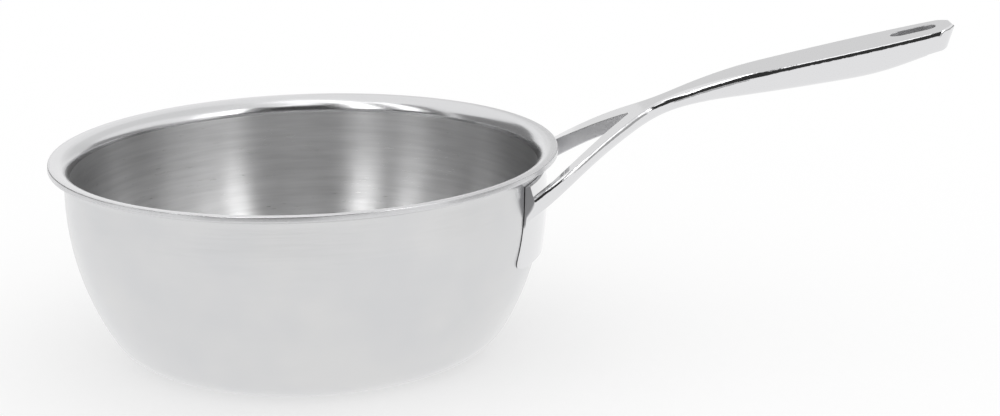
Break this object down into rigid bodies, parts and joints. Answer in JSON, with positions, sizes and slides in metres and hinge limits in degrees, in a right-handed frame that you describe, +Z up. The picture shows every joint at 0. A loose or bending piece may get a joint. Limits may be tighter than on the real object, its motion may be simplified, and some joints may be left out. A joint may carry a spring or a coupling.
{
  "type": "saucier pan",
  "caption": "Steel saucier pan with a round-bellied bowl, a flared pouring lip and a forked handle welded to the wall.",
  "frame": {"origin": "centre of the flat base, on the surface that the pan stands on", "axes": "+Z up out of the mouth, +X from the bowl towards the handle, +Y to the left when looking from the bowl along the handle"},
  "size_m": [0.3859, 0.2178, 0.137],
  "materials": {
    "brushed_inside": "brushed round the axis",
    "satin_outside": "fine satin",
    "polished_rim": "polished",
    "polished_handle": "mirror polished casting",
    "alloy_bond": "rolled",
    "aluminium_core": "rolled",
    "weld_steel": "as welded"
  },
  "bodies": {
    "root": {"cooking_liner": "brushed_inside", "inner_bond_layer": "alloy_bond", "heat_core": "aluminium_core", "outer_bond_layer": "alloy_bond", "outer_skin": "satin_outside", "rim_seal": "polished_rim", "handle": "polished_handle", "weld_nuggets": "weld_steel"}
  },
  "joints": []
}
